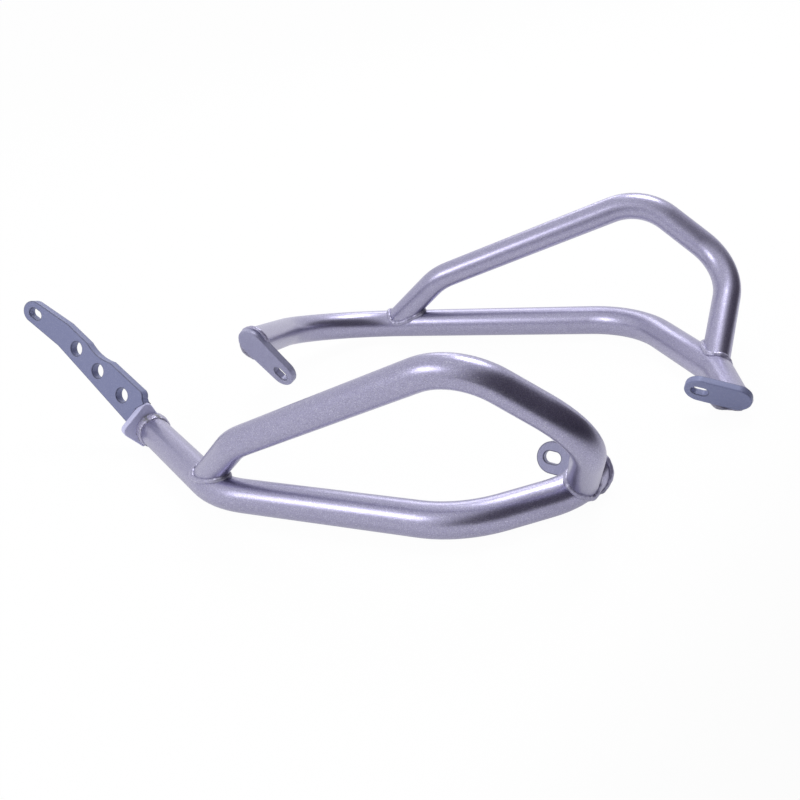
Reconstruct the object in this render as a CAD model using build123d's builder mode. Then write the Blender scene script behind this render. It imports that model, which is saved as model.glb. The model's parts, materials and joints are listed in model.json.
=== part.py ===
from build123d import *
from math import cos, radians, sin, tan
import os

os.makedirs("parts", exist_ok=True)

# Motorcycle crash bars: a right and a left bar of welded steel tube, lying flat as a pair.
# X points to the front of the motorcycle, Y to its left, Z up; the floor is at Z = 0.

# Tube stock and bending
MAIN_OD = 25.0
HOOP_OD = 22.0
WALL = 2.0
MAIN_BEND = 80.0
HOOP_BEND = 50.0
END_BEND = 55.0
RUN_OUT = 25.0

# Plates and welds
PLATE_T = 6.0
SLOT_LOBE = 11.5
SLOT_L = 12.6
SLOT_W = 8.5
PLATE_EDGE = 1.0
BEAD = 2.4
BEAD_TAPER = 40.0
END_BEAD = 4.5
END_LIP = 2.0
FLOOR_GAP = 0.8
FOOT_REACH = 40.0
SEAM_LIFT = 2.0

# Where the two bars lie: rear hoop feet, and how far each bar toes out
TOE = 3.3
RIGHT_FOOT = (-76.37, -151.02)
FOOT_STAGGER = 33.1
FOOT_TRACK = 304.4

# Right bar, in its own axes: x along the straight run from the rear hoop foot, y inward
R_REAR_CORNER = 20.4
R_LEG_HEADING = 148.0
R_LEG = 143.0
R_FRONT_CORNER = 215.6
R_FRONT_TURN = 41.0
R_FRONT_RUN = 85.7
R_END_HEADING = 88.3
R_END = 28.7
R_HOOP_LOW = (51.5, -5.2, 47.7)
R_HOOP_TOP = (237.3, -16.7, 127.6)
R_HOOP_NOSE = (307.9, 5.6, 69.4)
R_HOOP_REAR = 26.9
R_HOOP_FOOT = (278.4, 60.8, 0.0)
R_PLATE_LEAN = 25.0
R_PLATE_ROLL = 7.0
R_PLATE_AT = (0.0, 0.0)
R_PLATE_SPAN = 30.2
R_PLATE_LOBE = 11.5

# Right rear end plate, turned about the tube's axis, and the bracket on it
FLANGE_T = 8.0
FLANGE_TURN = 34.0
FLANGE_TOP_OUT = (17.2, 20.3)
FLANGE_TOP_IN = (-17.8, 20.3)
FLANGE_WAIST = (-13.5, 6.0)
FLANGE_LOW_IN = (-13.5, -13.5)
FLANGE_LOW_OUT = (15.8, -13.5)
FLANGE_TOP_R = 5.0
FLANGE_LOW_R = 12.0
BRACKET_T = 8.0
BRACKET_AT = (-10.629122, -1.978455, 19.1)
BRACKET_HEADING = -90.0
BRACKET_LEAN = 22.0
BRACKET_ROLL = 146.0
BRACKET_FOLD = 9.0
BRACKET_TAIL = 16.0
BRACKET_SWEEP = 50.0
FOLD_AT = 99.7
HOLE_D = 12.5
HOLES = [(18.7, -1.2), (51.3, -2.3), (81.0, -4.0)]
TIP_SLOT = (132.3, -4.4)
TIP_R = 9.6
TIP_PAST = 2.9

# Bracket outline beside its axis: straight lower edge, and an upper edge with a shallow waist
LOWER_TAIL = 15.8
LOWER_ROOT = (2.4, 15.0)
LOWER_MID = (56.6, 10.2)
LOWER_FOLD = (99.7, 6.5)
UPPER_FOLD = (101.6, -16.1)
WAIST_TIPWARD = (73.8, -15.5)
WAIST_MID = (58.5, -13.3)
WAIST_ROOTWARD = (44.1, -16.6)
SHOULDER_TOP = (6.5, -16.6)
SHOULDER_MID = (1.8, -15.6)
SHOULDER_LOW = (-0.6, -12.2)
UPPER_TAIL = -2.0

# Left bar, in its own axes, y inward
L_REAR_CORNER = -92.6
L_LEG_HEADING = 74.5
L_LEG_RISE = 19.1
L_LEG = 216.0
L_FRONT_CORNER = 231.1
L_FRONT_TURN = 53.5
L_FRONT_RUN = 126.8
L_END_HEADING = 73.0
L_END = 53.8
L_HOOP_LOW = (54.2, 5.0, 46.9)
L_HOOP_TOP = (239.6, -14.3, 105.6)
L_HOOP_NOSE = (312.3, 7.2, 48.8)
L_HOOP_FRONT = 122.4
L_PLATE_HEADING = 98.5
L_PLATE_LEAN = 23.0
L_PLATE_ROLL = 16.3
L_PLATE_AT = (-0.9, -2.2)
L_PLATE_SPAN = 26.2
L_PLATE_LOBE = 11.5
L_REAR_HEADING = 104.5
L_REAR_LEAN = 10.5
L_REAR_ROLL = 232.5
L_REAR_AT = (0.0, -2.5)
L_REAR_SPAN = 32.8
L_REAR_LOBE = 12.8

AXIS_Z = MAIN_OD / 2
TOE_X = cos(radians(TOE))
TOE_Y = sin(radians(TOE))
RIGHT_BAR = Plane(
    origin=(RIGHT_FOOT[0], RIGHT_FOOT[1], AXIS_Z), x_dir=(TOE_X, -TOE_Y, 0), z_dir=(0, 0, 1)
)
LEFT_BAR = Plane(
    origin=(RIGHT_FOOT[0] + FOOT_STAGGER, RIGHT_FOOT[1] + FOOT_TRACK, AXIS_Z),
    x_dir=(TOE_X, TOE_Y, 0),
    z_dir=(0, 0, 1),
)


def right(x, y, z):
    """Point of the right bar, from its own axes to the pair's."""
    return RIGHT_BAR.from_local_coords(Vector(x, y, z))


def left(x, y, z):
    """Point of the left bar, from its own axes, y inward, to the pair's."""
    return LEFT_BAR.from_local_coords(Vector(x, -y, z))


def ahead(start, heading, length, rise=0.0):
    """Point at a length from a start, at a heading and a rise in degrees."""
    level = length * cos(radians(rise))
    return (
        start[0] + level * cos(radians(heading)),
        start[1] + level * sin(radians(heading)),
        start[2] + length * sin(radians(rise)),
    )


def face_plane(bar, centre, heading, lean, roll):
    """Plane of a plate's outer face: it looks along the heading, leans down, and its axis rolls up."""
    h = radians(heading)
    tip = radians(lean)
    p = radians(roll)
    normal = (cos(h) * cos(tip), sin(h) * cos(tip), -sin(tip))
    across = (-sin(h), cos(h), 0.0)
    up = (cos(h) * sin(tip), sin(h) * sin(tip), cos(tip))
    axis = tuple(a * cos(p) + b * sin(p) for a, b in zip(across, up))
    base = bar(0, 0, 0)
    return Plane(origin=bar(*centre), x_dir=bar(*axis) - base, z_dir=bar(*normal) - base)


def end_plane(path, at):
    """Plane across a path at one of its ends."""
    return Plane(origin=path @ at, z_dir=path % at)


def bent_tube(path, od, bore, cuts):
    """Tube swept along a bent path and cut off square to each given plane; no bore leaves it filled."""
    with BuildPart() as tube:
        with BuildSketch(end_plane(path, 0)):
            Circle(od / 2)
            if bore > 0:
                Circle(bore / 2, mode=Mode.SUBTRACT)
        sweep(path=path)
        for cut in cuts:
            with BuildSketch(cut):
                Circle(2 * od)
            extrude(amount=2 * RUN_OUT, mode=Mode.SUBTRACT)
    return tube.part


def plate_outline(plane, at, span, lobe, lip):
    """Outline of a plate with two round ends: a lobe on the tube and one round the slot, and a lip."""
    with BuildSketch(plane) as outline:
        with Locations(at):
            Circle(lobe + lip)
        with Locations((at[0] + span, at[1])):
            Circle(SLOT_LOBE + lip)
        make_hull()
    return outline.sketch


def slotted_plate(plane, at, span, lobe):
    """Plate behind a plane, with a slot in its far lobe and a softened outer edge."""
    with BuildPart() as plate:
        extrude(plate_outline(plane, at, span, lobe, 0.0), amount=-PLATE_T)
        with BuildSketch(plane):
            with Locations((at[0] + span, at[1])):
                SlotOverall(SLOT_L, SLOT_W)
        extrude(amount=-PLATE_T, mode=Mode.SUBTRACT)
        outer = plate.faces().sort_by(Axis(plane.origin, plane.z_dir))[-1]
        fillet(outer.outer_wire().edges(), radius=PLATE_EDGE)
    return plate.part


def foot_bead(foot, hoop, run, main_path, main_rod, hoop_rod):
    """Bead around a hoop's foot: a ring on both tubes, on the side where the hoop stands."""
    along = run.normalized()
    stand = hoop - along * hoop.dot(along)
    with BuildPart() as bead:
        with BuildSketch(Plane(origin=foot, z_dir=hoop)):
            Circle(HOOP_OD / 2 + BEAD)
        extrude(amount=FOOT_REACH)
        with BuildSketch(end_plane(main_path, 0)):
            Circle(MAIN_OD / 2 + BEAD)
        sweep(path=main_path, mode=Mode.INTERSECT)
        add(main_rod, mode=Mode.SUBTRACT)
        add(hoop_rod, mode=Mode.SUBTRACT)
        split(bisect_by=Plane(origin=foot + stand.normalized() * SEAM_LIFT, z_dir=stand), keep=Keep.TOP)
    return bead.part


def end_bead(rod, plane, radius):
    """Bead around the end of a tube that stands on a plane, kept off the floor."""
    end = rod.faces().filter_by(GeomType.PLANE).sort_by_distance(plane.origin)[0]
    seam = end.outer_wire()
    with BuildPart() as bead:
        with BuildSketch(Plane(origin=seam @ 0, z_dir=seam % 0)):
            Circle(radius)
        sweep(path=seam)
        split(bisect_by=plane, keep=Keep.BOTTOM)
        split(bisect_by=Plane.XY.offset(FLOOR_GAP), keep=Keep.TOP)
        add(rod, mode=Mode.SUBTRACT)
    return bead.part


def plate_bead(rod, plane, at, span, lobe):
    """Bead between a tube and the back of its plate, kept to the plate's outline."""
    with BuildPart() as bead:
        add(end_bead(rod, plane.offset(-PLATE_T), BEAD))
        outline = plate_outline(plane, at, span, lobe, END_LIP)
        extrude(outline, amount=-FOOT_REACH, mode=Mode.INTERSECT)
    return bead.part


# Right bar: corners of the main tube
r_rear = (R_REAR_CORNER, 0.0, 0.0)
r_end = ahead(r_rear, R_LEG_HEADING, R_LEG)
r_front = (R_FRONT_CORNER, 0.0, 0.0)
r_corner = ahead(r_front, R_FRONT_TURN, R_FRONT_RUN)
r_face = ahead(r_corner, R_END_HEADING, R_END)
r_over = ahead(r_corner, R_END_HEADING, R_END + RUN_OUT)
r_heel = ahead(r_rear, R_LEG_HEADING, R_HOOP_REAR)
r_plate_plane = face_plane(right, r_face, R_END_HEADING, R_PLATE_LEAN, R_PLATE_ROLL)
r_flange_plane = face_plane(right, r_end, R_LEG_HEADING, 0.0, -FLANGE_TURN)
r_root = tuple(at + along for at, along in zip(r_end, BRACKET_AT))
r_bracket_plane = face_plane(right, r_root, BRACKET_HEADING, -BRACKET_LEAN, BRACKET_ROLL)

# Left bar: corners of the main tube
l_rear = (L_REAR_CORNER, 0.0, 0.0)
l_heel = (0.0, 0.0, 0.0)
l_rear_face = ahead(l_rear, L_LEG_HEADING, L_LEG, L_LEG_RISE)
l_rear_over = ahead(l_rear, L_LEG_HEADING, L_LEG + RUN_OUT, L_LEG_RISE)
l_front = (L_FRONT_CORNER, 0.0, 0.0)
l_corner = ahead(l_front, L_FRONT_TURN, L_FRONT_RUN)
l_face = ahead(l_corner, L_END_HEADING, L_END)
l_over = ahead(l_corner, L_END_HEADING, L_END + RUN_OUT)
l_foot = ahead(l_front, L_FRONT_TURN, L_HOOP_FRONT)
l_plate_plane = face_plane(left, l_face, L_PLATE_HEADING, L_PLATE_LEAN, L_PLATE_ROLL)
l_rear_plane = face_plane(left, l_rear_face, L_REAR_HEADING, L_REAR_LEAN, L_REAR_ROLL)

# Centre lines of the four tubes
with BuildLine() as right_main_path:
    FilletPolyline(
        *[right(*corner) for corner in (r_end, r_rear, r_front, r_corner, r_over)],
        radius=[MAIN_BEND, MAIN_BEND, END_BEND],
    )
with BuildLine() as right_hoop_path:
    FilletPolyline(
        *[right(*corner) for corner in (r_heel, R_HOOP_LOW, R_HOOP_TOP, R_HOOP_NOSE, R_HOOP_FOOT)],
        radius=HOOP_BEND,
    )
with BuildLine() as left_main_path:
    FilletPolyline(
        *[left(*corner) for corner in (l_rear_over, l_rear, l_front, l_corner, l_over)],
        radius=[MAIN_BEND, MAIN_BEND, END_BEND],
    )
with BuildLine() as left_hoop_path:
    FilletPolyline(
        *[left(*corner) for corner in (l_heel, L_HOOP_LOW, L_HOOP_TOP, L_HOOP_NOSE, l_foot)],
        radius=HOOP_BEND,
    )

# Filled tubes, which shape the copes and the weld beads
right_cuts = [r_plate_plane.offset(-PLATE_T)]
left_cuts = [l_plate_plane.offset(-PLATE_T), l_rear_plane.offset(-PLATE_T)]
right_main_rod = bent_tube(right_main_path.line, MAIN_OD, 0.0, right_cuts)
right_hoop_rod = bent_tube(right_hoop_path.line, HOOP_OD, 0.0, [])
left_main_rod = bent_tube(left_main_path.line, MAIN_OD, 0.0, left_cuts)
left_hoop_rod = bent_tube(left_hoop_path.line, HOOP_OD, 0.0, [])

# Right main tube: rear leg, straight run, front bend and the end that meets the front plate
with BuildPart() as right_main_tube:
    add(bent_tube(right_main_path.line, MAIN_OD, MAIN_OD - 2 * WALL, right_cuts))
right_main_tube.part.label = "right_main_tube"
export_step(right_main_tube.part, "parts/right_main_tube.step")

# Right hoop tube: stands off the main tube, coped to it at both feet
with BuildPart() as right_hoop_tube:
    add(bent_tube(right_hoop_path.line, HOOP_OD, HOOP_OD - 2 * WALL, []))
    add(right_main_rod, mode=Mode.SUBTRACT)
right_hoop_tube.part.label = "right_hoop_tube"
export_step(right_hoop_tube.part, "parts/right_hoop_tube.step")

# Left main tube: raised rear leg, straight run, front bend and the end that meets the front plate
with BuildPart() as left_main_tube:
    add(bent_tube(left_main_path.line, MAIN_OD, MAIN_OD - 2 * WALL, left_cuts))
left_main_tube.part.label = "left_main_tube"
export_step(left_main_tube.part, "parts/left_main_tube.step")

# Left hoop tube, coped to the left main tube at both feet
with BuildPart() as left_hoop_tube:
    add(bent_tube(left_hoop_path.line, HOOP_OD, HOOP_OD - 2 * WALL, []))
    add(left_main_rod, mode=Mode.SUBTRACT)
left_hoop_tube.part.label = "left_hoop_tube"
export_step(left_hoop_tube.part, "parts/left_hoop_tube.step")

# Mounting plates: stadiums with a slot, leaning on the mitred tube ends
with BuildPart() as right_front_plate:
    add(slotted_plate(r_plate_plane, R_PLATE_AT, R_PLATE_SPAN, R_PLATE_LOBE))
right_front_plate.part.label = "right_front_plate"
export_step(right_front_plate.part, "parts/right_front_plate.step")

with BuildPart() as left_front_plate:
    add(slotted_plate(l_plate_plane, L_PLATE_AT, L_PLATE_SPAN, L_PLATE_LOBE))
left_front_plate.part.label = "left_front_plate"
export_step(left_front_plate.part, "parts/left_front_plate.step")

with BuildPart() as left_rear_plate:
    add(slotted_plate(l_rear_plane, L_REAR_AT, L_REAR_SPAN, L_REAR_LOBE))
left_rear_plate.part.label = "left_rear_plate"
export_step(left_rear_plate.part, "parts/left_rear_plate.step")

# Outline of the right rear end plate: wide top under the bracket, drawn in round the tube below
with BuildSketch(r_flange_plane) as flange_outline:
    with BuildLine():
        Polyline(
            FLANGE_TOP_OUT, FLANGE_TOP_IN, FLANGE_WAIST, FLANGE_LOW_IN, FLANGE_LOW_OUT, close=True
        )
    make_face()
    fillet(flange_outline.vertices().group_by(Axis.Y)[0], radius=FLANGE_LOW_R)
    fillet(flange_outline.vertices().group_by(Axis.Y)[-1], radius=FLANGE_TOP_R)

# Right rear end plate: closes the rear leg and carries the bracket
with BuildPart() as right_rear_end_plate:
    extrude(flange_outline.sketch, amount=FLANGE_T)
    split(bisect_by=Plane.XY.offset(FLOOR_GAP), keep=Keep.TOP)
    outward = Axis(r_flange_plane.origin, r_flange_plane.z_dir)
    near_face = right_rear_end_plate.faces().sort_by(outward)[0]
    fillet(near_face.edges(), radius=PLATE_EDGE)
right_rear_end_plate.part.label = "right_rear_end_plate"
export_step(right_rear_end_plate.part, "parts/right_rear_end_plate.step")

# Planes of the right rear bracket: across its thickness, and along its folded end
fold = radians(BRACKET_FOLD)
fold_run = TIP_SLOT[0] + 2 * TIP_R
fold_end = (FOLD_AT + fold_run * cos(fold), fold_run * sin(fold))
r_side_plane = Plane(
    origin=r_bracket_plane.origin,
    x_dir=r_bracket_plane.x_dir,
    z_dir=-r_bracket_plane.y_dir,
)
fold_plane = Plane(
    origin=r_bracket_plane.from_local_coords(Vector(FOLD_AT, 0, 0)),
    x_dir=r_bracket_plane.x_dir * cos(fold) + r_bracket_plane.z_dir * sin(fold),
    z_dir=r_bracket_plane.z_dir * cos(fold) - r_bracket_plane.x_dir * sin(fold),
)
tip = TIP_SLOT[0] + TIP_PAST

# Right rear bracket: thick flat bar with a slight fold, three round holes and a slot at the tip
with BuildPart() as right_rear_bracket:
    with BuildSketch(r_side_plane):
        with BuildLine():
            Polyline(
                (-BRACKET_TAIL, 0),
                (FOLD_AT, 0),
                fold_end,
                (fold_end[0] + BRACKET_T * sin(fold), fold_end[1] - BRACKET_T * cos(fold)),
                (FOLD_AT + BRACKET_T * tan(fold / 2), -BRACKET_T),
                (-BRACKET_TAIL, -BRACKET_T),
                close=True,
            )
        make_face()
    extrude(amount=BRACKET_SWEEP, both=True)
    with BuildSketch(r_bracket_plane):
        with BuildLine():
            Polyline(
                (-BRACKET_TAIL, LOWER_TAIL), LOWER_ROOT, LOWER_MID, LOWER_FOLD, (tip, TIP_SLOT[1] + TIP_R)
            )
            ThreePointArc(
                (tip, TIP_SLOT[1] + TIP_R),
                (tip + TIP_R, TIP_SLOT[1]),
                (tip, TIP_SLOT[1] - TIP_R),
            )
            Polyline((tip, TIP_SLOT[1] - TIP_R), UPPER_FOLD, WAIST_TIPWARD)
            ThreePointArc(WAIST_TIPWARD, WAIST_MID, WAIST_ROOTWARD)
            Line(WAIST_ROOTWARD, SHOULDER_TOP)
            ThreePointArc(SHOULDER_TOP, SHOULDER_MID, SHOULDER_LOW)
            Polyline(SHOULDER_LOW, (-BRACKET_TAIL, UPPER_TAIL), (-BRACKET_TAIL, LOWER_TAIL))
        make_face()
    extrude(amount=BRACKET_SWEEP, both=True, mode=Mode.INTERSECT)
    split(bisect_by=r_flange_plane, keep=Keep.TOP)
    extrude(flange_outline.sketch, amount=FLANGE_T, mode=Mode.SUBTRACT)
    with BuildSketch(r_bracket_plane):
        with Locations(*HOLES):
            Circle(HOLE_D / 2)
    extrude(amount=-2 * BRACKET_T, mode=Mode.SUBTRACT)
    with BuildSketch(fold_plane):
        with Locations((TIP_SLOT[0] - FOLD_AT, TIP_SLOT[1])):
            SlotOverall(SLOT_L, SLOT_W)
    extrude(amount=2 * BRACKET_T, both=True, mode=Mode.SUBTRACT)
right_rear_bracket.part.label = "right_rear_bracket"
export_step(right_rear_bracket.part, "parts/right_rear_bracket.step")

# Weld beads around the four hoop feet
with BuildPart() as right_hoop_rear_weld:
    add(
        foot_bead(
            right(*r_heel),
            right(*R_HOOP_LOW) - right(*r_heel),
            right(*r_end) - right(*r_rear),
            right_main_path.line,
            right_main_rod,
            right_hoop_rod,
        )
    )
right_hoop_rear_weld.part.label = "right_hoop_rear_weld"
export_step(right_hoop_rear_weld.part, "parts/right_hoop_rear_weld.step")

with BuildPart() as right_hoop_front_weld:
    add(
        foot_bead(
            right(*R_HOOP_FOOT),
            right(*R_HOOP_NOSE) - right(*R_HOOP_FOOT),
            right(*r_face) - right(*r_corner),
            right_main_path.line,
            right_main_rod,
            right_hoop_rod,
        )
    )
right_hoop_front_weld.part.label = "right_hoop_front_weld"
export_step(right_hoop_front_weld.part, "parts/right_hoop_front_weld.step")

with BuildPart() as left_hoop_rear_weld:
    add(
        foot_bead(
            left(*l_heel),
            left(*L_HOOP_LOW) - left(*l_heel),
            left(*l_front) - left(*l_heel),
            left_main_path.line,
            left_main_rod,
            left_hoop_rod,
        )
    )
left_hoop_rear_weld.part.label = "left_hoop_rear_weld"
export_step(left_hoop_rear_weld.part, "parts/left_hoop_rear_weld.step")

with BuildPart() as left_hoop_front_weld:
    add(
        foot_bead(
            left(*l_foot),
            left(*L_HOOP_NOSE) - left(*l_foot),
            left(*l_corner) - left(*l_front),
            left_main_path.line,
            left_main_rod,
            left_hoop_rod,
        )
    )
left_hoop_front_weld.part.label = "left_hoop_front_weld"
export_step(left_hoop_front_weld.part, "parts/left_hoop_front_weld.step")

# Beads between the main tubes and their plates
with BuildPart() as right_front_plate_weld:
    add(plate_bead(right_main_rod, r_plate_plane, R_PLATE_AT, R_PLATE_SPAN, R_PLATE_LOBE))
right_front_plate_weld.part.label = "right_front_plate_weld"
export_step(right_front_plate_weld.part, "parts/right_front_plate_weld.step")

with BuildPart() as left_front_plate_weld:
    add(plate_bead(left_main_rod, l_plate_plane, L_PLATE_AT, L_PLATE_SPAN, L_PLATE_LOBE))
left_front_plate_weld.part.label = "left_front_plate_weld"
export_step(left_front_plate_weld.part, "parts/left_front_plate_weld.step")

with BuildPart() as left_rear_plate_weld:
    add(plate_bead(left_main_rod, l_rear_plane, L_REAR_AT, L_REAR_SPAN, L_REAR_LOBE))
left_rear_plate_weld.part.label = "left_rear_plate_weld"
export_step(left_rear_plate_weld.part, "parts/left_rear_plate_weld.step")

with BuildPart() as right_rear_end_weld:
    add(end_bead(right_main_rod, r_flange_plane, END_BEAD))
    extrude(flange_outline.sketch, amount=-FOOT_REACH, mode=Mode.INTERSECT)
right_rear_end_weld.part.label = "right_rear_end_weld"
export_step(right_rear_end_weld.part, "parts/right_rear_end_weld.step")

# Bead around the foot of the bracket, on the far face of the end plate
with BuildPart() as right_bracket_weld:
    far_face = r_flange_plane.offset(FLANGE_T)
    foot = right_rear_bracket.faces().filter_by(far_face).sort_by_distance(far_face.origin)[0]
    with BuildSketch(far_face):
        add(far_face.to_local_coords(foot))
        offset(amount=BEAD)
    extrude(amount=BEAD, taper=BEAD_TAPER)
    extrude(flange_outline.sketch, amount=FOOT_REACH, mode=Mode.INTERSECT)
    add(right_rear_bracket.part, mode=Mode.SUBTRACT)
    add(right_rear_end_plate.part, mode=Mode.SUBTRACT)
right_bracket_weld.part.label = "right_bracket_weld"
export_step(right_bracket_weld.part, "parts/right_bracket_weld.step")
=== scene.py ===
"""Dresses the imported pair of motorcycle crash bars.

Coats the tubes, lays the weld beads, softens the cut plates, and sets the floor, the light and the camera.
"""

from __future__ import annotations

import json
import logging
import math
from dataclasses import dataclass, field
from enum import Enum

import bmesh
import bpy
from mathutils import Matrix, Vector, noise
from mathutils.bvhtree import BVHTree

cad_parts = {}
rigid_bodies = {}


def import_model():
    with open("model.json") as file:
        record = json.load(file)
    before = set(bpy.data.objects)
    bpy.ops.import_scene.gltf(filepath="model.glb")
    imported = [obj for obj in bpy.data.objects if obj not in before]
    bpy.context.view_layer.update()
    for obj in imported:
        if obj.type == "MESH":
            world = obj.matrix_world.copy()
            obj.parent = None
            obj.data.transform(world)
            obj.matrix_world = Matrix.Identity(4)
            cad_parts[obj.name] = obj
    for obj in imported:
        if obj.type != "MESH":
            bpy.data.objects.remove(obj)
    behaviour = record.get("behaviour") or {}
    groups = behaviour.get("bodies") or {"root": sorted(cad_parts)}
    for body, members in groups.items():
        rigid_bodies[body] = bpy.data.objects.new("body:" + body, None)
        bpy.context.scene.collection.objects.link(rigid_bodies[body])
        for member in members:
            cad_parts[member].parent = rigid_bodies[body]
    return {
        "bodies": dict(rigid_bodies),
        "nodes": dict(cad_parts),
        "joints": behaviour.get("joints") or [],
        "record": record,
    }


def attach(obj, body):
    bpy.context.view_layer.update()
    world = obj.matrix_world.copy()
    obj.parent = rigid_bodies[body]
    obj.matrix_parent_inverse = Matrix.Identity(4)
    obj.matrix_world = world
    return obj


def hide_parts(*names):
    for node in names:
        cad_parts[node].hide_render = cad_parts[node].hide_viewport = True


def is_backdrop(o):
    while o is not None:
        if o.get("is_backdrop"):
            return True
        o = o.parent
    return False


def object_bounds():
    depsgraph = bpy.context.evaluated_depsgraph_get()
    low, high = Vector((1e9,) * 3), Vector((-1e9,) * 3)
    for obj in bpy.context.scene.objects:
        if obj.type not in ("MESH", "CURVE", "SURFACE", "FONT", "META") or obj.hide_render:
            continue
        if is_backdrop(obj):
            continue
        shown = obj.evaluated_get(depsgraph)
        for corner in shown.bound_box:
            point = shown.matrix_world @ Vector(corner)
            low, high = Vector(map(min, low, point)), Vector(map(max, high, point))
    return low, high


LOG = logging.getLogger("crash_bars")

MM = 0.001
IMAGE_PX = 800
SENSOR_MM = 36.0
BODY = "root"
PAINTED_SHADE = "rim"
PLATE_THICKNESS = 6.0 * MM
MERGE_DISTANCE = 1e-6
HOOP_SEEDS = (0.0, 3.1)
PLATE_SEEDS = (11.0, 13.7)
END_SEED = 23.0

Colour = tuple[float, float, float]
Place = tuple[float, float, float]
Room = tuple[Place, Place]
Run = tuple[Place, Place]


class Side(Enum):
    """Which bar of the pair a piece belongs to."""

    RIGHT = "right"
    LEFT = "left"


class Rays(Enum):
    """Kinds of ray that see a stage surface as plain white."""

    CAMERA = "Is Camera Ray"
    GLOSSY = "Is Glossy Ray"
    TRANSMISSION = "Is Transmission Ray"


class Sock:
    """A shader value that can be used in Python arithmetic."""

    def __init__(self, book: NodeBook, link: bpy.types.NodeSocket | None) -> None:
        """Keeps the node book and the output socket."""
        self.book = book
        self.link = link

    def _math(self, operation: str, first: Sock | float, second: Sock | float) -> Sock:
        """Adds one Math node.

        Args:
            operation: Blender's name of the operation.
            first: Left value.
            second: Right value.

        Returns:
            The node's value.
        """
        return self.book.node("ShaderNodeMath", {"operation": operation}, {0: first, 1: second})

    def __add__(self, other: Sock | float) -> Sock:
        """Value plus other."""
        return self._math("ADD", self, other)

    def __radd__(self, other: float) -> Sock:
        """Other plus value."""
        return self._math("ADD", other, self)

    def __sub__(self, other: Sock | float) -> Sock:
        """Value minus other."""
        return self._math("SUBTRACT", self, other)

    def __rsub__(self, other: float) -> Sock:
        """Other minus value."""
        return self._math("SUBTRACT", other, self)

    def __mul__(self, other: Sock | float) -> Sock:
        """Value times other."""
        return self._math("MULTIPLY", self, other)

    def __rmul__(self, other: float) -> Sock:
        """Other times value."""
        return self._math("MULTIPLY", other, self)

    def above(self, level: float) -> Sock:
        """One where the value is above a level, and zero elsewhere."""
        return self._math("GREATER_THAN", self, level)

    def most(self, other: Sock | float) -> Sock:
        """The larger of two values."""
        return self._math("MAXIMUM", self, other)


class NodeBook:
    """Makes and links the nodes of one node tree."""

    def __init__(self, tree: bpy.types.NodeTree) -> None:
        """Empties the tree and keeps it."""
        self.tree = tree
        tree.nodes.clear()

    def node(
        self,
        kind: str,
        settings: dict[str, object] | None = None,
        sockets: dict[str | int, object] | None = None,
        output: str | int = 0,
    ) -> Sock:
        """Adds a node.

        Args:
            kind: The node's type name.
            settings: Properties set before the sockets; "stops" fills a colour ramp.
            sockets: Values or links of the inputs, by name or number.
            output: Which output is returned.

        Returns:
            The wrapped output socket.
        """
        made = self.tree.nodes.new(kind)
        for name, value in (settings or {}).items():
            if name == "stops":
                self._fill_ramp(made.color_ramp, value)
            else:
                setattr(made, name, value)
        for name, value in (sockets or {}).items():
            if isinstance(value, Sock):
                self.tree.links.new(value.link, made.inputs[name])
            else:
                made.inputs[name].default_value = value
        if not made.outputs:
            return Sock(self, None)
        return Sock(self, made.outputs[output])

    @staticmethod
    def _fill_ramp(ramp: bpy.types.ColorRamp, stops: list[tuple[float, Colour]]) -> None:
        """Sets a ramp's stops.

        Args:
            ramp: The node's colour ramp.
            stops: Places and colours, from low to high.
        """
        while len(ramp.elements) < len(stops):
            ramp.elements.new(1.0)
        for element, (place, colour) in zip(ramp.elements, stops):
            element.position = place
            element.color = (*colour, 1.0)

    def mix(self, share: Sock | float, low: Sock | Colour, high: Sock | Colour) -> Sock:
        """Mixes two colours.

        Args:
            share: How much of the second colour shows.
            low: Colour at no share.
            high: Colour at full share.

        Returns:
            The mixed colour.
        """
        pair = {
            name: colour if isinstance(colour, Sock) else (*colour, 1.0)
            for name, colour in ((6, low), (7, high))
        }
        return self.node("ShaderNodeMix", {"data_type": "RGBA"}, {0: share, **pair}, 2)


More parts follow.
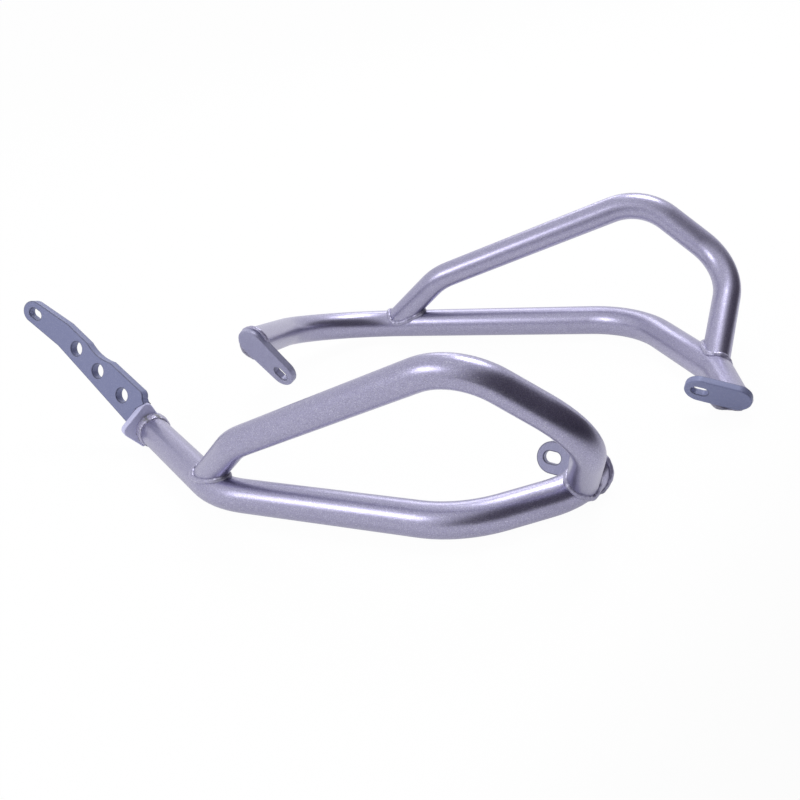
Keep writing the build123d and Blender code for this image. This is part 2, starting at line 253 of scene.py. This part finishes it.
@dataclass(frozen=True)
class PowderCoat:
    """Silver powder coat with fine metal flake, as baked over the welded steel.

    Attributes:
        name: Material name.
        deep: Colour of the darkest grains.
        pale: Colour of the lightest grains.
        flake: Colour of the bright flakes.
        soot: Colour of the rough patches left by welding.
        sparkle: How much of the flakes' colour shows, from 0 to 1.
        flakes_above: Value from 0 to 1 above which a cell of the coat is a flake.
        roughness: Mean roughness.
        roughness_spread: How much the roughness varies from grain to grain.
        metal: How metallic the coat is.
        peel: Strength of the orange-peel relief.
        peel_depth: Depth of that relief, in metres.
        peel_share: Share of the dimples in the relief; the grain makes up the rest.
        grain_scale: Grains per metre.
        flake_scale: Flakes per metre.
        peel_scale: Orange-peel dimples per metre.
        patch_scale: Rough patches per metre.
        patches: Share of rough patches, from 0 to 1.
        patch_edge: Width of a patch's soft edge, as a span of the noise that makes it.
        patch_roughness: How much rougher a patch is.
        rim: How much of the line's colour shows on softened edges and in tight corners, from 0 to 1: the
            strength of the painted shade.
        line: Colour of the painted shade: a painted dark reflection on softened plate edges and painted shade
            in the beads' tight corners.
    """

    name: str
    deep: Colour = (0.165, 0.158, 0.225)
    pale: Colour = (0.565, 0.542, 0.765)
    flake: Colour = (0.90, 0.90, 0.96)
    soot: Colour = (0.20, 0.20, 0.23)
    sparkle: float = 0.3
    flakes_above: float = 0.87
    roughness: float = 0.33
    roughness_spread: float = 0.12
    metal: float = 0.95
    peel: float = 0.05
    peel_depth: float = 0.0004
    peel_share: float = 0.8
    grain_scale: float = 1700.0
    flake_scale: float = 2500.0
    peel_scale: float = 420.0
    patch_scale: float = 170.0
    patches: float = 0.0
    patch_edge: float = 0.12
    patch_roughness: float = 0.14
    rim: float = 0.0
    line: Colour = (0.05, 0.05, 0.075)

    def build(self) -> bpy.types.Material:
        """Makes the material.

        Returns:
            The node-based material.
        """
        material = bpy.data.materials.new(self.name)
        material.use_nodes = True
        book = NodeBook(material.node_tree)
        place = book.node("ShaderNodeTexCoord", output="Object")
        grain = self._noise(book, place, self.grain_scale, 2.0)
        dimple = self._noise(book, place, self.peel_scale, 1.0)
        coat = book.mix(grain, self.deep, self.pale)
        coat = book.mix(self._flakes(book, place) * self.sparkle, coat, self.flake)
        roughness = grain * self.roughness_spread + (self.roughness - self.roughness_spread / 2)
        if self.patches > 0.0:
            patch = self._patch(book, place)
            coat = book.mix(patch, coat, self.soot)
            roughness = roughness + patch * self.patch_roughness
        # Painted shade: softened edges and tight corners, marked by a mesh attribute, are darkened towards
        # the line colour.
        if self.rim > 0.0:
            edge = book.node("ShaderNodeAttribute", {"attribute_name": PAINTED_SHADE}, None, "Fac")
            coat = book.mix(edge * self.rim, coat, self.line)
        height = dimple * self.peel_share + grain * (1.0 - self.peel_share)
        relief = book.node(
            "ShaderNodeBump", None,
            {"Strength": self.peel, "Distance": self.peel_depth, "Height": height},
        )
        surface = book.node(
            "ShaderNodeBsdfPrincipled", None,
            {"Base Color": coat, "Metallic": self.metal, "Roughness": roughness, "Normal": relief},
        )
        book.node("ShaderNodeOutputMaterial", None, {"Surface": surface})
        return material

    @staticmethod
    def _noise(book: NodeBook, place: Sock, scale: float, detail: float) -> Sock:
        """Adds a noise pattern.

        Args:
            book: Node book of the material.
            place: Coordinates.
            scale: Spots per metre.
            detail: Octaves of finer spots.

        Returns:
            The pattern's value.
        """
        return book.node(
            "ShaderNodeTexNoise", None, {"Vector": place, "Scale": scale, "Detail": detail}
        )

    def _flakes(self, book: NodeBook, place: Sock) -> Sock:
        """Adds the scattered metal flakes.

        Args:
            book: Node book of the material.
            place: Coordinates.

        Returns:
            One on a flake, and zero elsewhere.
        """
        cell = book.node(
            "ShaderNodeTexVoronoi", None, {"Vector": place, "Scale": self.flake_scale}, "Color"
        )
        return book.node("ShaderNodeSeparateColor", None, {0: cell}).above(self.flakes_above)

    def _patch(self, book: NodeBook, place: Sock) -> Sock:
        """Adds the rough patches left by welding.

        Args:
            book: Node book of the material.
            place: Coordinates.

        Returns:
            One inside a patch, falling to zero across its edge.
        """
        starts = 1.0 - self.patches
        return book.node(
            "ShaderNodeMapRange",
            {"interpolation_type": "SMOOTHSTEP"},
            {
                "Value": self._noise(book, place, self.patch_scale, 3.0),
                "From Min": starts,
                "From Max": starts + self.patch_edge,
            },
        )


class Finish(Enum):
    """Finishes of the pair: one silver coat, set up differently on tubes, beads and plates; the darker
    bracket coat is painted shade and the lighter end plate coat is painted light.
    """

    TUBE = PowderCoat("silver_powder_coat")
    # The beads darken towards a grey line colour in their tight corners: painted shade.
    WELD = PowderCoat(
        "weld_powder_coat", roughness=0.3, metal=0.45, peel=0.12, rim=0.7, line=(0.17, 0.17, 0.19)
    )
    END_WELD = PowderCoat("end_weld_coat", roughness=0.28, metal=0.3, peel=0.25, patches=0.49)
    # Softened plate edges darken towards the line colour: a painted dark reflection.
    PLATE = PowderCoat(
        "plate_powder_coat", deep=(0.255, 0.255, 0.375), pale=(0.395, 0.395, 0.575), sparkle=0.15,
        roughness=0.4, metal=0.25, rim=0.6,
    )
    # Painted light: this coat is made lighter than the plate coat to stand in for the light the end plate
    # catches; its softened edges get a painted dark reflection.
    END_PLATE = PowderCoat(
        "end_plate_coat_painted_light", deep=(0.440, 0.440, 0.640), pale=(0.640, 0.640, 0.900), sparkle=0.15,
        roughness=0.4, metal=0.1, rim=0.3,
    )
    # Painted shade: this coat is made darker than the plate coat to stand in for the dark reflection on the
    # rear bracket and the left front plate; its softened edges get a painted dark reflection too.
    BRACKET = PowderCoat(
        "bracket_coat_painted_shade", deep=(0.163, 0.178, 0.307), pale=(0.240, 0.260, 0.448), sparkle=0.08,
        roughness=0.45, metal=0.25, rim=0.5,
    )


Finishes = dict[Finish, bpy.types.Material]


@dataclass(frozen=True)
class StageWhite:
    """White sheet on the floor: white to the camera, with a trace of the real shadow left in it.

    Attributes:
        name: Material name.
        dark_heading: Middle of the dark side of the room, in degrees from +X.
        colour: Colour of the sheet.
        ground: Colour of the ground past the sheet, on the dark side of the room.
        ends: Where the sheet starts and stops giving way to the ground, in metres.
        plain: Share of plain white that the camera sees.
        glossy: Share of plain white that the coat sees.
    """

    name: str
    dark_heading: float
    colour: Colour = (0.92, 0.92, 0.93)
    ground: Colour = (0.06, 0.055, 0.07)
    ends: tuple[float, float] = (0.26, 0.44)
    plain: float = 0.97
    glossy: float = 0.62

    def build(self) -> bpy.types.Material:
        """Makes the material.

        Returns:
            The node-based material.
        """
        material = bpy.data.materials.new(self.name)
        material.use_nodes = True
        book = NodeBook(material.node_tree)
        camera, glossy, through = (book.node("ShaderNodeLightPath", output=kind.value) for kind in Rays)
        place = book.node("ShaderNodeTexCoord", output="Object")
        x, y = (book.node("ShaderNodeSeparateXYZ", None, {0: place}, axis) for axis in "XY")
        heading = math.radians(self.dark_heading)
        past = book.node(
            "ShaderNodeMapRange", {"interpolation_type": "SMOOTHSTEP"},
            {
                "Value": x * math.cos(heading) + y * math.sin(heading),
                "From Min": self.ends[0],
                "From Max": self.ends[1],
            },
        )
        mirrored = glossy.most(through) * self.glossy * (1.0 - past)
        direct = (camera * self.plain).most(mirrored)
        ground = book.mix(past, self.colour, self.ground)
        matt = book.node("ShaderNodeBsdfDiffuse", None, {"Color": ground})
        white = book.node("ShaderNodeEmission", None, {"Color": (1.0, 1.0, 1.0, 1.0), "Strength": 1.0})
        mixed = book.node("ShaderNodeMixShader", None, {0: direct, 1: matt, 2: white})
        book.node("ShaderNodeOutputMaterial", None, {"Surface": mixed})
        return material


@dataclass(frozen=True)
class BarFrame:
    """Axes of one bar: x along its straight run from the rear hoop foot, y inward, z up from the tube's axis.

    Attributes:
        foot: Place of the rear hoop foot on the floor plan, in millimetres.
        toe: Angle of the run to the pair's X axis, in degrees.
        inward: Sign of the pair's Y that points inward.
        axis_height: Height of the main tube's axis, in millimetres.
    """

    foot: tuple[float, float]
    toe: float
    inward: float
    axis_height: float = 12.5

    def point(self, x: float, y: float, z: float) -> Vector:
        """Point of the bar in the pair's axes.

        Args:
            x: Along the run, in millimetres.
            y: Inward, in millimetres.
            z: Up from the tube's axis, in millimetres.

        Returns:
            The point in metres.
        """
        turn = math.radians(self.toe)
        across = y * self.inward
        return Vector((
            self.foot[0] + x * math.cos(turn) - across * math.sin(turn),
            self.foot[1] + x * math.sin(turn) + across * math.cos(turn),
            self.axis_height + z,
        )) * MM


def finished(work: bmesh.types.BMesh, name: str) -> bpy.types.Object:
    """Turns a modelled shape into an object.

    Args:
        work: The shape, with its place in it. It is freed.
        name: Name of the object and its mesh.

    Returns:
        The object, at the origin of the scene.
    """
    mesh = bpy.data.meshes.new(name)
    work.to_mesh(mesh)
    work.free()
    piece = bpy.data.objects.new(name, mesh)
    bpy.context.scene.collection.objects.link(piece)
    return piece


@dataclass
class StandIn:
    """A finer piece that stands for a plain CAD node.

    Attributes:
        node: CAD node that the piece stands for.
        finish: Material of the piece.
    """

    node: str
    finish: bpy.types.Material

    def dress(self, piece: bpy.types.Object) -> None:
        """Gives the piece its finish and its place on the frame, and reports it.

        Args:
            piece: The modelled piece.
        """
        piece.data.materials.clear()
        piece.data.materials.append(self.finish)
        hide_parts(self.node)
        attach(piece, BODY)
        LOG.info("%s stands for %s", piece.name, self.node)


@dataclass(frozen=True)
class Seam:
    """Line that a bead follows, point by point around a tube.

    Attributes:
        points: Points on the seam.
        outs: Direction away from both pieces at each point.
        opening: How open the corner is at each point: below zero where it is tight.
    """

    points: list[Vector]
    outs: list[Vector]
    opening: list[float]


@dataclass
class WeldBead(StandIn):
    """One hand-laid bead where a tube meets another piece.

    Attributes:
        target: CAD node that the tube is welded to.
        start: Point on the tube's axis, away from the joint.
        foot: Point on the tube's axis at the joint.
        tube: Outer radius of the tube, in metres.
        size: Radius of the bead, in metres.
        seed: Shifts the lumps from bead to bead.
        long: How much longer the bead's section is along the tube than across it.
        facing: Point and normal of the flat face that the tube stands on, if it stands on one.
        pitch: Distance between ripples, in metres.
        lean: How far the ripples lag behind at the sides of the bead, in radians.
        lumps: Lumps per metre.
        even: Share of the size that the bead has all along.
        rippled: Share of the size that ripples add.
        lumpy: Share of the size that lumps add.
        fuller: Share of the size that a tight corner adds.
        point_rounds: How often the seam's points are smoothed.
        corner_rounds: How often the seam's directions and openings are smoothed.
        stations: Steps around the seam.
        sides: Steps around the bead.
        gap: How far the bead stays inside the room it is given, in metres.
    """

    target: str
    start: Vector
    foot: Vector
    tube: float
    size: float
    seed: float
    long: float = 1.0
    facing: tuple[Vector, Vector] | None = None
    pitch: float = 4.6 * MM
    lean: float = 1.1
    lumps: float = 110.0
    even: float = 0.7
    rippled: float = 0.03
    lumpy: float = 0.28
    fuller: float = 0.8
    point_rounds: int = 6
    corner_rounds: int = 10
    stations: int = 264
    sides: int = 18
    gap: float = 0.2 * MM

    def seam(self, frame: dict) -> Seam:
        """Follows the seam around the tube.

        Args:
            frame: The loaded frame.

        Returns:
            The seam, one point per station.
        """
        axis = (self.foot - self.start).normalized()
        side = axis.orthogonal().normalized()
        other = axis.cross(side)
        tree = BVHTree.FromObject(frame["nodes"][self.target], bpy.context.evaluated_depsgraph_get())
        points = []
        outs = []
        opening = []
        for step in range(self.stations):
            turn = math.tau * step / self.stations
            radial = side * math.cos(turn) + other * math.sin(turn)
            place, normal = self._landing(tree, radial * self.tube, axis)
            points.append(place)
            outs.append((radial + normal).normalized())
            opening.append(radial.dot(normal))
        return Seam(
            self._eased(points, self.point_rounds),
            self._eased(outs, self.corner_rounds),
            self._eased(opening, self.corner_rounds),
        )

    @staticmethod
    def _eased(row: list, rounds: int) -> list:
        """Smooths a closed row of points or numbers.

        Args:
            row: Values around the seam.
            rounds: How often each is drawn towards its neighbours.

        Returns:
            The smoothed row.
        """
        for _ in range(rounds):
            row = [(row[i - 1] + row[i] * 2 + row[(i + 1) % len(row)]) / 4 for i in range(len(row))]
        return row

    def _landing(self, tree: BVHTree, radial: Vector, axis: Vector) -> tuple[Vector, Vector]:
        """Finds where a line along the tube's skin lands.

        Args:
            tree: Surface of the piece that the tube is welded to.
            radial: Offset of the line from the tube's axis.
            axis: Direction of the tube, towards the joint.

        Returns:
            The landing point and the surface's normal there.
        """
        start = self.start + radial
        if self.facing is not None:
            base, normal = self.facing
            return start + axis * ((base - start).dot(normal) / axis.dot(normal)), -normal
        place, normal, _, _ = tree.ray_cast(start, axis)
        if place is None:
            place, normal, _, _ = tree.find_nearest(self.foot + radial)
        return place, normal

    def build(self, frame: dict, room: Room) -> bpy.types.Object:
        """Models the bead as a rippled roll along its seam, fuller where the corner is tight.

        Args:
            frame: The loaded frame.
            room: Low and high corner of the box that the bead stays in.

        Returns:
            The bead, at the origin with its place in its mesh.
        """
        seam = self.seam(frame)
        count = len(seam.points)
        lengths = [(seam.points[(i + 1) % count] - seam.points[i]).length for i in range(count)]
        ripples = round(sum(lengths) / self.pitch)
        phase = [0.0]
        for length in lengths:
            phase.append(phase[-1] + length / sum(lengths) * ripples * math.tau)
        work = bmesh.new()
        # Marks the tight corners, where the bead coat gets painted shade.
        corner = work.verts.layers.float.new(PAINTED_SHADE)
        bmesh.ops.create_grid(work, x_segments=count, y_segments=self.sides, size=0.5)
        for vert in work.verts:
            step = round((vert.co.x + 0.5) * count)
            turn = (vert.co.y + 0.5) * math.tau
            vert[corner] = max(0.0, -seam.opening[step % count])
            vert.co = self._kept(self._skin(seam, step % count, phase[step], turn), room)
        bmesh.ops.remove_doubles(work, verts=work.verts, dist=MERGE_DISTANCE)
        bmesh.ops.recalc_face_normals(work, faces=work.faces)
        bead = finished(work, self.node + "_bead")
        bead.data.shade_smooth()
        return bead

    def _skin(self, seam: Seam, step: int, phase: float, turn: float) -> Vector:
        """Point on the bead's skin.

        Args:
            seam: Line of the bead.
            step: Station on the seam.
            phase: Angle within the ripples.
            turn: Angle around the bead.

        Returns:
            The point.
        """
        here = seam.points[step]
        along = (seam.points[(step + 1) % len(seam.points)] - seam.points[step - 1]).normalized()
        out = seam.outs[step] - along * seam.outs[step].dot(along)
        out = out.normalized()
        up = along.cross(out)
        wave = math.sin(phase + self.lean * math.cos(turn))
        lump = noise.noise(here * self.lumps + Vector((self.seed, 0.0, 0.0)))
        tight = max(0.0, -seam.opening[step])
        share = self.even + self.rippled * wave + self.lumpy * lump + self.fuller * tight
        offset = (out * math.cos(turn) + up * math.sin(turn)) * (self.size * share)
        axis = (self.foot - self.start).normalized()
        return here + offset + axis * offset.dot(axis) * (self.long - 1.0)

    def _kept(self, place: Vector, room: Room) -> Vector:
        """Keeps a point inside a box.

        Args:
            place: The point.
            room: Low and high corner of the box.

        Returns:
            The nearest point that is inside the box by the bead's gap.
        """
        low, high = room
        return Vector(min(max(v, a + self.gap), b - self.gap) for v, a, b in zip(place, low, high))


@dataclass
class CutPlate(StandIn):
    """A plate cut from flat bar, with its edges and hole rims softened under the coat.

    Attributes:
        edge: Width of the softened edges, in metres.
        segments: Steps across a softened edge.
        sharp: Angle from which an edge is softened, in degrees.
        flat: Angle up to which neighbouring facets are one face, in degrees.
        weight: How strongly large faces hold the shading flat, from 1 to 100.
    """

    edge: float = 0.8 * MM
    segments: int = 3
    sharp: float = 40.0
    flat: float = 1.0
    weight: int = 100

    def build(self, frame: dict) -> bpy.types.Object:
        """Copies the CAD plate, merges it and bevels its sharp edges.

        Args:
            frame: The loaded frame.

        Returns:
            The plate, at the origin with its place in its mesh.
        """
        work = bmesh.new()
        work.from_mesh(frame["nodes"][self.node].data)
        rim = work.faces.layers.float.new(PAINTED_SHADE)
        bmesh.ops.remove_doubles(work, verts=work.verts, dist=MERGE_DISTANCE)
        bmesh.ops.dissolve_limit(
            work, angle_limit=math.radians(self.flat), verts=work.verts, edges=work.edges
        )
        limit = math.radians(self.sharp)
        keen = [edge for edge in work.edges if edge.is_manifold and edge.calc_face_angle() > limit]
        softened = bmesh.ops.bevel(
            work, geom=keen, offset=self.edge, offset_type="OFFSET", segments=self.segments,
            profile=0.5, affect="EDGES", material=-1, clamp_overlap=False,
        )
        # Marks the bevel faces for the painted dark reflection along the plate edges.
        for face in softened["faces"]:
            face[rim] = 1.0
        plate = finished(work, self.node + "_softened")
        plate.data.shade_smooth()
        weighting = plate.modifiers.new("flat_faces", "WEIGHTED_NORMAL")
        weighting.weight = self.weight
        return plate


@dataclass
class CrashBar:
    """One bar of the pair, with its plates and beads.

    Attributes:
        side: Which bar it is.
        axes: The bar's own axes.
        hoop_rear: Axis of the hoop's rear foot, from above down to the main tube, in millimetres.
        hoop_front: Axis of the hoop's front foot, from above down to the main tube, in millimetres.
        plate_finishes: Finish of each piece that is cut from flat bar.
        plate_ends: Tube axes that end on a slotted plate, by plate, in millimetres.
        square_ends: Tube axes that end square on a plate, by weld, in millimetres.
        hoop_bead: Radius of the beads around the hoop's feet, in metres.
        hoop_reach: How far above its foot a hoop's bead starts to look for the main tube, in metres.
        plate_bead: Radius of the beads on the slotted plates, in metres.
        plate_bead_long: How much longer those beads are along the tube than across it.
        end_bead: Radius of the beads on square ends, in metres.
        end_bead_long: How much longer those beads are along the tube than across it.
        hoop_radius: Outer radius of the hoop tube, in metres.
        main_radius: Outer radius of the main tube, in metres.
        beads: Beads of the bar.
        plates: Plates of the bar.
    """

    side: Side
    axes: BarFrame
    hoop_rear: Run
    hoop_front: Run
    plate_finishes: dict[str, Finish]
    plate_ends: dict[str, Run]
    square_ends: dict[str, Run] = field(default_factory=dict)
    hoop_bead: float = 3.3 * MM
    hoop_reach: float = 45.0 * MM
    plate_bead: float = 2.4 * MM
    plate_bead_long: float = 1.2
    end_bead: float = 2.9 * MM
    end_bead_long: float = 3.6
    hoop_radius: float = 11.0 * MM
    main_radius: float = 12.5 * MM
    beads: list[WeldBead] = field(default_factory=list)
    plates: list[CutPlate] = field(default_factory=list)

    def named(self, piece: str) -> str:
        """Name of a piece of this bar."""
        return f"{self.side.value}_{piece}"

    def lay_hoop_beads(self, finish: bpy.types.Material) -> None:
        """Adds the beads around the hoop's two feet.

        Args:
            finish: Material of the beads.
        """
        feet = {"rear": self.hoop_rear, "front": self.hoop_front}
        for (end, (high, low)), seed in zip(feet.items(), HOOP_SEEDS):
            foot = self.axes.point(*low)
            start = foot + (self.axes.point(*high) - foot).normalized() * self.hoop_reach
            self.beads.append(WeldBead(
                self.named(f"hoop_{end}_weld"), finish, self.named("main_tube"), start, foot,
                self.hoop_radius, self.hoop_bead, seed,
            ))

    def lay_plate_beads(self, frame: dict, finish: bpy.types.Material) -> None:
        """Adds the beads between the main tube and its slotted plates.

        Args:
            frame: The loaded frame, whose record gives the plates' outer faces.
            finish: Material of the beads.
        """
        mounts = {mount["name"]: mount for mount in frame["record"]["mounts"]}
        for (end, (far, near)), seed in zip(self.plate_ends.items(), PLATE_SEEDS):
            face = mounts[self.named(f"{end}_face")]
            normal = Vector(face["axis"])
            back = Vector(face["pos_m"]) - normal * PLATE_THICKNESS
            self.beads.append(WeldBead(
                self.named(f"{end}_plate_weld"), finish, self.named(f"{end}_plate"),
                self.axes.point(*far), self.axes.point(*near), self.main_radius, self.plate_bead, seed,
                long=self.plate_bead_long, facing=(back, normal),
            ))

    def lay_square_beads(self, finish: bpy.types.Material) -> None:
        """Adds the beads where the main tube stands square on an end plate.

        Args:
            finish: Material of the beads.
        """
        for end, (far, near) in self.square_ends.items():
            start = self.axes.point(*far)
            foot = self.axes.point(*near)
            self.beads.append(WeldBead(
                self.named(f"{end}_end_weld"), finish, self.named(f"{end}_end_plate"), start, foot,
                self.main_radius, self.end_bead, END_SEED,
                long=self.end_bead_long, facing=(foot, (foot - start).normalized()),
            ))

    def cut_plates(self, finishes: Finishes) -> None:
        """Adds the plates of the bar.

        Args:
            finishes: The mixed materials.
        """
        for piece, finish in self.plate_finishes.items():
            self.plates.append(CutPlate(self.named(piece), finishes[finish]))

    def build(self, frame: dict, finishes: Finishes, room: Room) -> None:
        """Builds and dresses the bar's beads and plates.

        Args:
            frame: The loaded frame.
            finishes: The mixed materials.
            room: Low and high corner of the box that the beads stay in.
        """
        self.lay_hoop_beads(finishes[Finish.WELD])
        self.lay_plate_beads(frame, finishes[Finish.WELD])
        self.lay_square_beads(finishes[Finish.END_WELD])
        self.cut_plates(finishes)
        for bead in self.beads:
            bead.dress(bead.build(frame, room))
        for plate in self.plates:
            plate.dress(plate.build(frame))


@dataclass(frozen=True)
class SoftLamp:
    """A square soft lamp that looks at the pair.

    Attributes:
        name: Lamp's name.
        place: Its place, in metres.
        size: Side of its square face, in metres.
        power: Its power, in watts.
    """

    name: str
    place: Place
    size: float
    power: float

    def build(self) -> None:
        """Hangs the lamp."""
        data = bpy.data.lights.new(self.name, "AREA")
        data.size = self.size
        data.energy = self.power
        lamp = bpy.data.objects.new(self.name, data)
        lamp.location = self.place
        lamp.rotation_euler = (-Vector(self.place)).to_track_quat("-Z", "Y").to_euler()
        bpy.context.scene.collection.objects.link(lamp)


@dataclass(frozen=True)
class Studio:
    """White floor, soft light and the camera of the photograph.

    Attributes:
        camera_place: Camera's place, in millimetres.
        heading: Where the camera looks on the floor plan, in degrees from +X.
        pitch: How far it looks down, in degrees.
        roll: How far it is turned about its own axis, in degrees.
        focal_px: Focal length in pixels of the image.
        floor_size: Half the side of the floor, in metres.
        dark_heading: Middle of the dark side of the room, in degrees from +X.
        dark_lean: How much the dark side gives way with height.
        dark_edge: Where the dark side starts and is full, as the cosine of the angle to its middle.
        room_light: Brightness of the pale side of the room.
        room_dark: Brightness of the dark side of the room.
        backdrop: Colour of the room to the camera.
        lamps: The lamps.
    """

    camera_place: Place = (380.7, -686.0, 389.9)
    heading: float = 117.25
    pitch: float = 26.04
    roll: float = -10.32
    focal_px: float = 1050.0
    floor_size: float = 14.0
    dark_heading: float = -15.0
    dark_lean: float = 0.2
    dark_edge: tuple[float, float] = (0.10, 0.36)
    room_light: Colour = (0.92, 0.92, 0.94)
    room_dark: Colour = (0.08, 0.07, 0.09)
    backdrop: Colour = (0.98, 0.98, 0.98)
    lamps: tuple[SoftLamp, ...] = (
        SoftLamp("key", (0.274, 1.10, 1.886), 0.75, 15.0),
        SoftLamp("side", (-0.98, -1.565, 1.198), 0.75, 9.0),
        SoftLamp("back", (-0.69, 1.71, 1.198), 0.6, 3.0),
    )

    def camera_axes(self) -> Matrix:
        """Camera's turn, worked out from its heading, pitch and roll.

        Returns:
            The rotation, as columns of right, up and backward.
        """
        heading = math.radians(self.heading)
        pitch = math.radians(self.pitch)
        roll = math.radians(self.roll)
        forward = Vector((
            math.cos(heading) * math.cos(pitch), math.sin(heading) * math.cos(pitch), -math.sin(pitch)
        ))
        level = Vector((math.sin(heading), -math.cos(heading), 0.0))
        down = forward.cross(level)
        right = level * math.cos(roll) - down * math.sin(roll)
        below = level * math.sin(roll) + down * math.cos(roll)
        return Matrix((right, -below, -forward)).transposed()

    def set_camera(self) -> None:
        """Places the camera of the photograph."""
        data = bpy.data.cameras.new("camera")
        data.sensor_width = SENSOR_MM
        data.lens = self.focal_px * SENSOR_MM / IMAGE_PX
        camera = bpy.data.objects.new("camera", data)
        place = Matrix.Translation(Vector(self.camera_place) * MM)
        camera.matrix_world = place @ self.camera_axes().to_4x4()
        bpy.context.scene.collection.objects.link(camera)
        bpy.context.scene.camera = camera

    def lay_floor(self) -> None:
        """Lays the white floor."""
        work = bmesh.new()
        bmesh.ops.create_grid(work, x_segments=1, y_segments=1, size=self.floor_size)
        floor = finished(work, "floor")
        floor.data.materials.append(StageWhite("floor_white", self.dark_heading).build())
        floor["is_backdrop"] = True

    def light_world(self) -> None:
        """Lights the room with pale walls but for one dark side, and shows the camera plain white."""
        world = bpy.data.worlds.new("room")
        bpy.context.scene.world = world
        world.use_nodes = True
        book = NodeBook(world.node_tree)
        place = book.node("ShaderNodeTexCoord", output="Generated")
        x, y, z = (book.node("ShaderNodeSeparateXYZ", None, {0: place}, axis) for axis in "XYZ")
        heading = math.radians(self.dark_heading)
        towards = x * math.cos(heading) + y * math.sin(heading) - z * self.dark_lean
        starts, full = self.dark_edge
        shade = book.node(
            "ShaderNodeValToRGB",
            {"stops": [(starts, self.room_light), (full, self.room_dark)]},
            {0: towards},
        )
        camera = book.node("ShaderNodeLightPath", output=Rays.CAMERA.value)
        shown = book.mix(camera, shade, self.backdrop)
        light = book.node("ShaderNodeBackground", None, {"Color": shown, "Strength": 1.0})
        book.node("ShaderNodeOutputWorld", None, {"Surface": light})

    def build(self) -> None:
        """Sets up floor, world, lamps and camera."""
        self.lay_floor()
        self.light_world()
        for lamp in self.lamps:
            lamp.build()
        self.set_camera()
        LOG.info("the stage is set")


def make_bars() -> list[CrashBar]:
    """Describes the two bars.

    Returns:
        The right bar and the left bar.
    """
    right = CrashBar(
        Side.RIGHT,
        BarFrame((-76.37, -151.02), -3.3, 1.0),
        hoop_rear=((51.5, -5.2, 47.7), (-2.41, 14.25, 0.0)),
        hoop_front=((307.9, 5.6, 69.4), (278.4, 60.8, 0.0)),
        plate_finishes={
            "rear_bracket": Finish.BRACKET,
            "rear_end_plate": Finish.END_PLATE,
            "front_plate": Finish.PLATE,
        },
        plate_ends={"front": ((280.58, 66.2, 0.0), (281.13, 84.9, 0.0))},
        square_ends={"rear": ((-58.5, 49.3, 0.0), (-100.87, 75.78, 0.0))},
    )
    left = CrashBar(
        Side.LEFT,
        BarFrame((-43.27, 153.38), 3.3, -1.0),
        hoop_rear=((54.2, 5.0, 46.9), (0.0, 0.0, 0.0)),
        hoop_front=((312.3, 7.2, 48.8), (303.91, 98.39, 0.0)),
        plate_finishes={"rear_plate": Finish.PLATE, "front_plate": Finish.BRACKET},
        plate_ends={
            "front": ((312.37, 121.05, 0.0), (322.25, 153.38, 0.0)),
            "rear": ((-52.2, 145.7, 52.4), (-38.06, 196.69, 70.68)),
        },
        hoop_bead=3.5 * MM,
    )
    return [right, left]


def coat_nodes(frame: dict, finish: bpy.types.Material) -> None:
    """Coats every CAD node.

    Args:
        frame: The loaded frame.
        finish: Material of the coat.
    """
    for name, node in frame["nodes"].items():
        for place in node.material_slots:
            place.material = finish
        LOG.info("%s is coated", name)


def main() -> None:
    """Loads the frame, dresses both bars and sets the stage."""
    logging.basicConfig(level=logging.INFO)
    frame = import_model()
    cad_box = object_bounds()
    bpy.context.scene.view_settings.view_transform = "Standard"
    finishes = {finish: finish.value.build() for finish in Finish}
    coat_nodes(frame, finishes[Finish.TUBE])
    for bar in make_bars():
        bar.build(frame, finishes, cad_box)
    Studio().build()


if __name__ == "__main__":
    main()
